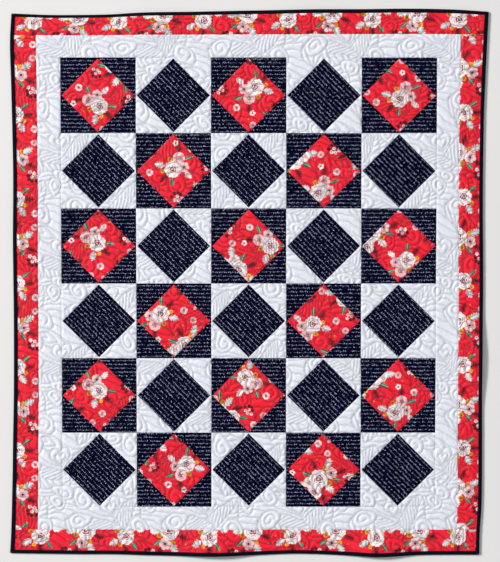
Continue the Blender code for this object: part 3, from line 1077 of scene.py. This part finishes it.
def dash_print(colours):
    """The navy cloth's colour: rows of short uneven dashes, some of them hooked at one end."""
    tree, wires, exit_node = new_group("dash print", {"Cloth": "vector"}, {"Colour": "colour"})
    u, v = split(wires["Cloth"])
    row = (v / DASH_ROW).math("FLOOR")
    along = u / DASH_PITCH + row * 0.37
    across = (along.math("FRACT") - 0.5) * DASH_PITCH
    length, lift, weight = chances(along.math("FLOOR"), row)
    sway = (u * 520 + row * 2.3).math("SINE") * 0.00035
    up = ((v / DASH_ROW).math("FRACT") - 0.5) * DASH_ROW + sway - across * (lift - 0.5) * 0.7
    half_thick = (weight * 0.6 + 0.4) * (DASH_THICKNESS / 2)
    in_length = (abs(across) - length * 0.0006).inside(0.0009, 0.0002)
    stroke = in_length * (abs(up) - half_thick).inside(0.0, 0.0002)
    end = abs(across - (length - 0.5) * 0.003).inside(0.00036, 0.00015)
    rise = abs(up - (lift - 0.5) * 0.0030).inside(0.0012, 0.0003)
    hook = end * rise * weight.math("GREATER_THAN", 0.40)
    shown = stroke.math("MAXIMUM", hook) * length.math("GREATER_THAN", 0.10)
    colour = painted(colours["navy"], colours["dash"], shown * (weight * 0.30 + 0.75))
    plug(colour, exit_node.inputs["Colour"])
    return tree


def weave_group():
    """The cloth's threads: their height, and the painted shade that darkens the gaps between them."""
    outputs = {"Height": "value", "Gaps": "value"}
    tree, wires, exit_node = new_group("plain weave", {"Cloth": "vector", "Thread": "value"}, outputs)
    u, v = split(wires["Cloth"])
    warp = (u / wires["Thread"] * math.pi).math("SINE")
    weft = (v / wires["Thread"] * math.pi).math("SINE")
    slub = noise(wires["Cloth"], 900.0, 2.0)
    plug(warp * weft * 0.5 + slub * 0.6, exit_node.inputs["Height"])
    # Painted shade between the threads: the gaps are made darker in the colour.
    gaps = abs(warp).inside(0.25, 0.25) * 0.5 + abs(weft).inside(0.25, 0.25) * 0.5
    plug(gaps, exit_node.inputs["Gaps"])
    return tree


def washed_group():
    """What washing and use do to cloth: small creases, and a slow change of shade."""
    outputs = {"Creases": "value", "Fade": "value"}
    tree, wires, exit_node = new_group("washed cloth", {"Place": "vector"}, outputs)
    plug(noise(wires["Place"], 170.0, 4.0, 0.6), exit_node.inputs["Creases"])
    plug(noise(wires["Place"], 9.0, 3.0, 0.55), exit_node.inputs["Fade"])
    return tree


THREAD_PITCH = 0.00040
CREASE_DEPTH = 0.0014


def cotton(name, groups, colour, print_group=None, fade=0.12, groove_shade=0.2, gloss=0.10, rough=0.84):
    """A quilting cotton: its print or plain dye, its weave, its washed creases and its nap, with painted
    shade in its quilting grooves and between its threads.
    """
    material, shader, place = new_material(name)
    tree = place.tree
    cloth = node_wire(tree, "ShaderNodeUVMap", "UV", {"uv_map": "cloth"})
    threads = group_wires(tree, groups["weave"], Cloth=cloth, Thread=THREAD_PITCH)
    washed = group_wires(tree, groups["washed"], Place=place)
    dye = group_wires(tree, print_group, Cloth=cloth)["Colour"] if print_group else colour
    groove = node_wire(tree, "ShaderNodeAttribute", "Fac", {"attribute_name": "groove"})
    # Painted shade: the gaps between the threads are darkened in the colour.
    tone = (washed["Fade"] - 0.5) * fade + 1.0 - threads["Gaps"] * 0.10
    # Painted shade: the colour is darkened along the quilting grooves, by groove_shade.
    tone = tone * (groove * -groove_shade + 1.0)
    grey = node_wire(tree, "ShaderNodeCombineXYZ", 0, X=tone, Y=tone, Z=tone)
    plug(painted(dye, grey, 1.0, "MULTIPLY"), shader.inputs["Base Color"])
    plug(washed["Creases"] * 0.10 + rough, shader.inputs["Roughness"])
    relief = washed["Creases"] * 0.9 + threads["Height"] * 0.16
    settings = {"Strength": 0.55, "Distance": CREASE_DEPTH, "Height": relief}
    plug(node_wire(tree, "ShaderNodeBump", "Normal", **settings), shader.inputs["Normal"])
    shader.inputs["Specular IOR Level"].default_value = gloss
    return material


@cache
def cloth_materials():
    """The quilt's materials by their slots, made on the first call."""
    chosen = bpy.context.scene.quilt_colours
    colours = {key: tuple(getattr(chosen, key)) for key in QuiltColours.__annotations__}
    groups = {"weave": weave_group(), "washed": washed_group()}
    dashes, flowers = dash_print(colours), floral_print(colours)
    return {
        "white_cotton": cotton("white cotton", groups, colours["white"], fade=0.06, groove_shade=0.30),
        "navy_print_cotton": cotton(
            "navy print cotton", groups, colours["navy"], dashes, groove_shade=0.3, gloss=0.04
        ),
        "floral_cotton": cotton(
            "floral cotton", groups, colours["red"], flowers, groove_shade=0.62, gloss=0.26, rough=0.62
        ),
        "binding_cotton": cotton("binding cotton", groups, colours["binding"], gloss=0.08),
        "backing_cotton": cotton("backing cotton", groups, colours["back"], fade=0.06),
        "quilting_thread": thread_material(colours["thread"]),
    }


def thread_material(colour):
    """A smooth polyester thread with a slow change of shade along it."""
    material, shader, place = new_material("quilting thread")
    shade = noise(place, 400.0, 2.0)
    darker = tuple(c * 0.72 for c in colour)
    plug(painted(darker, colour, shade), shader.inputs["Base Color"])
    plug(shade * 0.2 + 0.4, shader.inputs["Roughness"])
    return material


# The stitches


def stitch_tree():
    """Sets a stitch at every pitch along each line, lying along it."""
    inputs = {"Lines": "lines", "Pitch": "value", "Length": "value", "Width": "value", "Thread": "material"}
    name, outputs = "quilting stitches", {"Stitches": "lines"}
    tree, wires, exit_node = new_group(name, inputs, outputs, "GeometryNodeTree")

    def made(kind, output, settings=None, **inputs):
        return node_wire(tree, kind, output, settings, **inputs)

    curve = made("GeometryNodeMeshToCurve", "Curve", Mesh=wires["Lines"])
    by_length = {"mode": "LENGTH"}
    points = made("GeometryNodeCurveToPoints", "Points", by_length, Curve=curve, Length=wires["Pitch"])
    heading = Wire(points.socket.node.outputs["Rotation"])
    grain = made("GeometryNodeMeshUVSphere", "Mesh", Segments=3, Rings=2, Radius=0.5)
    smooth = made("GeometryNodeSetShadeSmooth", "Geometry", Geometry=grain)
    width = wires["Width"]
    size = made("ShaderNodeCombineXYZ", "Vector", X=width, Y=width, Z=wires["Length"])
    placing = {"Points": points, "Rotation": heading, "Instance": smooth, "Scale": size}
    placed = made("GeometryNodeInstanceOnPoints", "Instances", **placing)
    real = made("GeometryNodeRealizeInstances", "Geometry", Geometry=placed)
    thread = made("GeometryNodeSetMaterial", "Geometry", Geometry=real, Material=wires["Thread"])
    plug(thread, exit_node.inputs["Stitches"])
    return tree


# How far above the cloth the thread's middle lies, as a share of its width
THREAD_LIFT = 0.10


def stitched(name, lines):
    """Thread along quilting lines, as one plain mesh of stitches."""
    sizes = bpy.context.scene.quilt_sizes
    points, edges, count = [], [], 0
    for line in lines:
        u, v = line[::3].T
        points.append(laid(u, v, face_height(u, v) + sizes.thread_width * THREAD_LIFT))
        edges += [(count + k, count + k + 1) for k in range(len(u) - 1)]
        count += len(u)
    guide_mesh = bpy.data.meshes.new(f"{name}_lines")
    guide_mesh.from_pydata(np.vstack(points).tolist(), edges, [])
    guide = in_scene(f"{name}_lines", guide_mesh)
    tree = bpy.data.node_groups.get("quilting stitches") or stitch_tree()
    modifier = guide.modifiers.new("stitches", "NODES")
    modifier.node_group = tree
    values = {
        "Pitch": sizes.stitch_pitch,
        "Length": sizes.stitch_length,
        "Width": sizes.thread_width,
        "Thread": cloth_materials()["quilting_thread"],
    }
    for item in tree.interface.items_tree:
        if item.item_type == "SOCKET" and item.name in values:
            modifier[item.identifier] = values[item.name]
    guide.update_tag()
    depsgraph = bpy.context.evaluated_depsgraph_get()
    mesh = bpy.data.meshes.new_from_object(guide.evaluated_get(depsgraph), depsgraph=depsgraph)
    mesh.name = name
    guide.modifiers.remove(modifier)
    bpy.data.objects.remove(guide)
    return in_scene(name, mesh)


@cache
def quilting():
    """The quilting with its lines and puffs, worked out on the first call."""
    sizes = bpy.context.scene.quilt_sizes
    return QuiltingMap(quilting_lines(), sizes.puff, sizes.puff_run)


def to_block_seam(u, v):
    """How far points among the blocks are from the nearest seam."""
    in_u, in_v = (u + PANEL_U) % BLOCK, (v + PANEL_V) % BLOCK
    from_side = np.minimum(np.minimum(in_u, BLOCK - in_u), np.minimum(in_v, BLOCK - in_v))
    from_middle = np.abs(in_u - BLOCK / 2) + np.abs(in_v - BLOCK / 2)
    pitch = BLOCK / bpy.context.scene.quilt_sizes.cells
    return np.minimum(from_side, np.abs(BLOCK / 2 - pitch - from_middle) / math.sqrt(2))


def to_border_seam(u, v):
    """How far points in the borders are from the nearest border seam."""
    off_panel = np.abs(np.maximum(np.abs(u) - PANEL_U, np.abs(v) - PANEL_V))
    off_frame = np.abs(np.maximum(np.abs(u) - FRAME_U, np.abs(v) - FRAME_V))
    return np.minimum(off_panel, off_frame)


def face_height(u, v):
    """The height of the quilted face above the quilt's own underside."""
    sizes = bpy.context.scene.quilt_sizes
    among_blocks = (np.abs(u) < PANEL_U) & (np.abs(v) < PANEL_V)
    to_seam = np.where(among_blocks, to_block_seam(u, v), to_border_seam(u, v))
    puffs = quilting().sampled(quilting().height, u, v)
    dip = sizes.seam_dip * np.exp(-((to_seam / sizes.seam_run) ** 2))
    height = STITCH_HEIGHT + puffs - dip + sizes.crinkle * crinkles(u, v)
    eased = eased_to_edge(u, v)
    return EDGE_TOP * eased + height * (1 - eased)


# Each cloth's patches are two pieces, by their columns
COLUMN_GROUPS = {"left": (0, 1), "right": (2, 3, 4)}

# How far from a bouquet's middle a cloth's own middle may be cut, and how far aside of it a strip's is
CUT_SPREAD = 0.036
STRIP_SPREAD = 0.006
STRIP_ASIDE = 0.027


def block_middles(floral, columns):
    """The middles of the blocks with a floral square, or of the rest, row by row from the top."""
    for row in range(BLOCKS_UP):
        for column in columns:
            if ((row + column) % 2 == 0) == floral:
                yield np.array([(column + 0.5) * BLOCK - PANEL_U, PANEL_V - (row + 0.5) * BLOCK])


def cut_place(chance, spread, aside=0.0):
    """The print's point at the middle of a piece of cloth: near a bouquet, or aside of it."""
    bouquet = BOUQUETS[chance.integers(0, len(BOUQUETS))]
    near = np.array([PRINT_WIDTH, PRINT_HEIGHT]) / 2 + bouquet
    return near + chance.uniform(-spread, spread, 2) + [aside, 0]


class PatchOperator:
    """What the operators for patches share."""

    bl_options = {"REGISTER", "UNDO"}

    def sew(self, name, slot, floral, part, start_turn=0.0, any_quarter=False):
        """Makes one cloth's patches, squares or corners, as a piece for each group of columns."""
        cells = bpy.context.scene.quilt_sizes.cells
        patches = block_patches(cells)[part]
        pitch = BLOCK / (2 * (cells // 2))
        chance = np.random.default_rng(len(name))
        for group, columns in COLUMN_GROUPS.items():
            sewing = Sewing()
            for middle in block_middles(floral, columns):
                for patch in patches:
                    quarters = chance.integers(0, 4) if any_quarter else 0
                    turn = start_turn + quarters * math.pi / 2
                    sewn_patch(sewing, patch, middle, pitch, turn, cut_place(chance, CUT_SPREAD))
            sewing.finished(f"{name}_{group}", slot, "pieced_panel")


class OBJECT_OT_floral_squares(PatchOperator, bpy.types.Operator):
    """Make the floral squares set on point"""

    bl_idname = "quilt.floral_squares"
    bl_label = "Floral squares"

    def execute(self, context):
        self.sew("floral_squares", "floral_cotton", True, "squares", math.pi / 4, any_quarter=True)
        return {"FINISHED"}


class OBJECT_OT_navy_corners(PatchOperator, bpy.types.Operator):
    """Make the navy corner patches round the floral squares"""

    bl_idname = "quilt.navy_corners"
    bl_label = "Navy corners"

    def execute(self, context):
        self.sew("navy_corners", "navy_print_cotton", True, "corners")
        return {"FINISHED"}


class OBJECT_OT_navy_squares(PatchOperator, bpy.types.Operator):
    """Make the navy squares set on point"""

    bl_idname = "quilt.navy_squares"
    bl_label = "Navy squares"

    def execute(self, context):
        self.sew("navy_squares", "navy_print_cotton", False, "squares", math.pi / 4)
        return {"FINISHED"}


class OBJECT_OT_white_corners(PatchOperator, bpy.types.Operator):
    """Make the white corner patches round the navy squares"""

    bl_idname = "quilt.white_corners"
    bl_label = "White corners"

    def execute(self, context):
        self.sew("white_corners", "white_cotton", False, "corners")
        return {"FINISHED"}


def under_strip(u, v):
    """The height of a border strip's hidden side."""
    return PATCH_BOTTOM + (EDGE_BOTTOM - PATCH_BOTTOM) * eased_to_edge(u, v)


def border(name, slot, inner, outer, outer_is_seam, node, seed):
    """Makes the four strips of one border, the lower and upper ones over the side ones' ends."""
    pitch = BLOCK / bpy.context.scene.quilt_sizes.cells
    (inner_u, inner_v), (outer_u, outer_v) = inner, outer
    whole_u = lines_between(-outer_u, outer_u, pitch, (outer_is_seam, outer_is_seam))
    whole_v = lines_between(-inner_v, inner_v, pitch, (True, True))
    sides = {
        "left": (lines_between(-outer_u, -inner_u, pitch, (outer_is_seam, True)), whole_v),
        "right": (lines_between(inner_u, outer_u, pitch, (True, outer_is_seam)), whole_v),
        "bottom": (whole_u, lines_between(-outer_v, -inner_v, pitch, (outer_is_seam, True))),
        "top": (whole_u, lines_between(inner_v, outer_v, pitch, (True, outer_is_seam))),
    }
    chance = np.random.default_rng(seed)
    for side, (u_lines, v_lines) in sides.items():
        sewing = Sewing()
        sewn_strip(sewing, u_lines, v_lines, pitch, cut_place(chance, STRIP_SPREAD, STRIP_ASIDE))
        sewing.finished(f"{name}_{side}", slot, f"{node}_{side}")


class OBJECT_OT_white_border(bpy.types.Operator):
    """Make the plain white inner border"""

    bl_idname = "quilt.white_border"
    bl_label = "White border"

    def execute(self, context):
        inner, outer = (PANEL_U, PANEL_V), (FRAME_U, FRAME_V)
        border("white_border", "white_cotton", inner, outer, True, "inner_border", seed=3)
        return {"FINISHED"}


class OBJECT_OT_floral_border(bpy.types.Operator):
    """Make the floral outer border"""

    bl_idname = "quilt.floral_border"
    bl_label = "Floral border"

    def execute(self, context):
        inner, outer = (FRAME_U, FRAME_V), (EDGE_U - EDGE_INSET, EDGE_V - EDGE_INSET)
        border("floral_border", "floral_cotton", inner, outer, False, "outer_border", seed=5)
        return {"FINISHED"}


BINDING_STEP = 0.0045
PUCKER_HEIGHT = 0.00022
PUCKER_REACH = 0.00030


def binding_section():
    """The folded binding's cross-section: distance in from the edge, and height, once round."""
    width, top, fold = BINDING_WIDTH, BINDING_HEIGHT, CLOTH_FOLD
    channel = EDGE_INSET - 2 * GAP
    over = [(1, -0.9), (0.99, -0.25), (0.90, 0.10), (0.65, 0.35), (0.38, 0.25), (0.18, -0.25), (0.05, -1.1)]
    under = [(0.05, 1.1), (0.16, 0.35), (0.35, 0), (1, 0), (1, 0.8)]
    return np.array(
        [
            *[(width * share, top + folds * fold) for share, folds in over],
            (0, top / 2),
            *[(width * share, folds * fold) for share, folds in under],
            (channel, 0.9 * fold),
            (channel, top - fold),
            (width * 0.97, top - fold),
        ]
    )


def binding_side(side):
    """Makes one side of the binding, mitred at its ends and puckered a little where it was sewn."""
    half_length, half_off = (EDGE_U, EDGE_V) if side in ("bottom", "top") else (EDGE_V, EDGE_U)
    section = binding_section()
    size = len(section)
    mitre = half_length - GAP
    stations = np.linspace(-mitre, mitre, round(2 * half_length / BINDING_STEP) + 1)
    limit = mitre - section[:, 0]
    along = np.clip(stations[:, None], -limit, limit)
    on_top = np.clip(section[:, 1] / BINDING_HEIGHT - 0.5, 0, 1)
    pucker = np.sin(along * 410 + 2 * np.sin(along * 97)) + 0.6 * np.sin(along * 873 + half_off)
    height = section[:, 1] + PUCKER_HEIGHT * pucker * on_top
    pull = np.sin(along * 260 + 3 * np.sin(along * 61))
    inward = section[:, 0] + PUCKER_REACH * pull * on_top
    run, off = along.ravel(), half_off - inward.ravel()
    places = {"bottom": (run, -off), "top": (run, off), "left": (-off, run), "right": (off, run)}
    u, v = places[side]
    starts = range(0, len(run) - size, size)
    faces = [(a + m, a + n, a + size + n, a + size + m) for a in starts for m, n in around(size)]
    faces.append(tuple(reversed(range(size))))
    faces.append(tuple(range(len(run) - size, len(run))))
    if side in ("top", "left"):
        faces = [face[::-1] for face in faces]
    cloth = np.column_stack([run, np.tile(run_along(section), len(stations))])
    sewing = Sewing()
    sewing.add(laid(u, v, height.ravel()), cloth, [], faces)
    sewing.finished(f"folded_binding_{side}", "binding_cotton", f"binding_{side}", smooth_angle=70)


class OBJECT_OT_binding(bpy.types.Operator):
    """Make the folded binding along the four edges"""

    bl_idname = "quilt.binding"
    bl_label = "Binding"

    def execute(self, context):
        for side in ("bottom", "top", "left", "right"):
            binding_side(side)
        return {"FINISHED"}


BACK_STEPS_PER_BLOCK = 11
BACK_DIMPLE = 0.0006


class OBJECT_OT_backing(bpy.types.Operator):
    """Make the plain cloth under the quilt"""

    bl_idname = "quilt.backing"
    bl_label = "Backing"

    def execute(self, context):
        pitch = BLOCK / BACK_STEPS_PER_BLOCK
        half_u, half_v = EDGE_U - BINDING_WIDTH - GAP, EDGE_V - BINDING_WIDTH - GAP
        u_lines = lines_between(-half_u, half_u, pitch, (False, False))
        v_lines = lines_between(-half_v, half_v, pitch, (False, False))
        u, v, _, quads, rim = grid(u_lines, v_lines)
        count, following = len(u), np.roll(rim, -1)
        edge = np.column_stack([following, rim, rim + count, following + count])
        faces = [*quads.tolist(), *(quads[:, ::-1] + count).tolist(), *edge.tolist()]
        sunk = 1 - quilting().sampled(quilting().height, u, v) / context.scene.quilt_sizes.puff
        top = laid(u, v, np.full(count, BACK_TOP))
        bottom = laid(u, v, BACK_DIMPLE * np.clip(sunk, 0, 1) ** 2)
        cloth = np.column_stack([u, v])
        sewing = Sewing()
        sewing.add(np.vstack([top, bottom]), np.vstack([cloth, cloth]), [], faces)
        sewing.finished("backing", "backing_cotton")
        return {"FINISHED"}


class OBJECT_OT_quilting_stitches(bpy.types.Operator):
    """Sew the quilting lines, as one piece of thread for the lower half and one for the upper"""

    bl_idname = "quilt.quilting_stitches"
    bl_label = "Quilting stitches"

    def execute(self, context):
        runs = sorted(quilting().lines, key=lambda run: run[:, 1].mean())
        lengths = np.cumsum([len(run) for run in runs])
        half = int(np.searchsorted(lengths, lengths[-1] / 2))
        for name, part in (("lower", runs[:half]), ("upper", runs[half:])):
            ride(stitched(f"quilting_thread_{name}", part), "quilting_thread")
        return {"FINISHED"}


# The stage

# What the photograph tells of the camera: its lean is in degrees, and its sensor in millimetres
PIXELS_HIGH = 562
PIXELS_PER_METRE = 453.35
CAMERA_DISTANCE = 2.9
CAMERA_LEAN = 2.13
SENSOR = 36.0
VIEW_MIDDLE = Vector((0.0029, 0.0054, 0.0))
FLOOR_HALF = 12.0
SKY_COLOUR = (0.90, 0.94, 1.0, 1.0)
SKY_STRENGTH = 0.43
LIGHT_COLOUR = (1.0, 0.99, 0.97)
SUN_PLACE = (-9.0, 4.0, 5.2)
WINDOW_PLACE = (-6.0, 2.4, 3.3)


def floor_material():
    """A plain pale floor with the faintest unevenness."""
    material, shader, place = new_material("pale_floor")
    low, high = screen_colour(228, 226, 223), screen_colour(234, 232, 229)
    plug(painted(low, high, noise(place, 2.0, 2.0)), shader.inputs["Base Color"])
    shader.inputs["Roughness"].default_value = 1.0
    shader.inputs["Specular IOR Level"].default_value = 0.0
    return material


def aimed_light(name, kind, place, **settings):
    """A light pointed at the middle of the quilt."""
    data = bpy.data.lights.new(name, kind)
    data.color = LIGHT_COLOUR
    for key, value in settings.items():
        setattr(data, key, value)
    light = in_scene(name, data)
    light.location = place
    light.rotation_euler = (-Vector(place)).to_track_quat("-Z", "Y").to_euler()


def camera_above():
    """The camera, leaned a little and as far off as it takes to see the quilt as photographed."""
    lean = math.radians(CAMERA_LEAN)
    data = bpy.data.cameras.new("camera")
    data.sensor_width = SENSOR
    data.lens = PIXELS_PER_METRE * CAMERA_DISTANCE * SENSOR / PIXELS_HIGH
    data.clip_start = 0.05
    data.clip_end = 50.0
    camera = in_scene("camera", data)
    aim = VIEW_MIDDLE + Vector((PANEL_MIDDLE.x, PANEL_MIDDLE.y, 0.0))
    back = Vector((0.0, math.sin(lean), math.cos(lean))) * CAMERA_DISTANCE
    camera.matrix_world = Matrix.Translation(aim + back) @ Matrix.Rotation(-lean, 4, "X")
    return camera


class OBJECT_OT_quilt_stage(bpy.types.Operator):
    """Set the floor, the soft light and the camera above the quilt"""

    bl_idname = "quilt.stage"
    bl_label = "Stage"

    def execute(self, context):
        mesh = bpy.data.meshes.new("floor")
        signs = [(-1, -1), (1, -1), (1, 1), (-1, 1)]
        mesh.from_pydata([(x * FLOOR_HALF, y * FLOOR_HALF, 0) for x, y in signs], [], [(0, 1, 2, 3)])
        mesh.materials.append(floor_material())
        in_scene("floor", mesh)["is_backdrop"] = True
        world = bpy.data.worlds.new("soft_daylight")
        world.use_nodes = True
        background = world.node_tree.nodes["Background"]
        background.inputs["Color"].default_value = SKY_COLOUR
        background.inputs["Strength"].default_value = SKY_STRENGTH
        context.scene.world = world
        aimed_light("daylight", "SUN", SUN_PLACE, energy=2.55, angle=math.radians(10))
        aimed_light("window", "AREA", WINDOW_PLACE, shape="DISK", size=1.2, energy=280.0)
        context.scene.camera = camera_above()
        context.scene.view_settings.view_transform = "Standard"
        return {"FINISHED"}


class VIEW3D_PT_quilt(bpy.types.Panel):
    """Lists the quilt's sizes, colours and pieces."""

    bl_idname = "VIEW3D_PT_quilt"
    bl_label = "Pieced lap quilt"
    bl_space_type = "VIEW_3D"
    bl_region_type = "UI"
    bl_category = "Quilt"

    def draw(self, context):
        for group in (context.scene.quilt_sizes, context.scene.quilt_colours):
            for key in type(group).__annotations__:
                self.layout.prop(group, key)
        for operator in OPERATORS:
            self.layout.operator(operator.bl_idname)


OPERATORS = (
    OBJECT_OT_quilt_stage,
    OBJECT_OT_floral_squares,
    OBJECT_OT_navy_corners,
    OBJECT_OT_navy_squares,
    OBJECT_OT_white_corners,
    OBJECT_OT_white_border,
    OBJECT_OT_floral_border,
    OBJECT_OT_binding,
    OBJECT_OT_backing,
    OBJECT_OT_quilting_stitches,
)
CLASSES = (QuiltSizes, QuiltColours, *OPERATORS, VIEW3D_PT_quilt)


def register():
    """Registers the classes and hangs the sizes and colours on the scene."""
    for cls in CLASSES:
        bpy.utils.register_class(cls)
    bpy.types.Scene.quilt_sizes = PointerProperty(type=QuiltSizes)
    bpy.types.Scene.quilt_colours = PointerProperty(type=QuiltColours)


def unregister():
    """Takes away what register() added."""
    del bpy.types.Scene.quilt_colours
    del bpy.types.Scene.quilt_sizes
    for cls in reversed(CLASSES):
        bpy.utils.unregister_class(cls)


def declare_cloth():
    """Looks up the backing and the other shown meshes, but does nothing with them."""
    backing = bpy.data.objects["backing"]
    others = [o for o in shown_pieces() if o.type == "MESH" and o != backing]
    2 * EDGE_U
    2 * EDGE_V


def main():
    """Makes every piece and the stage."""
    register()
    for operator in OPERATORS:
        family, name = operator.bl_idname.split(".")
        getattr(getattr(bpy.ops, family), name)()
    declare_cloth()
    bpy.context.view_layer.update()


if __name__ == "__main__":
    main()
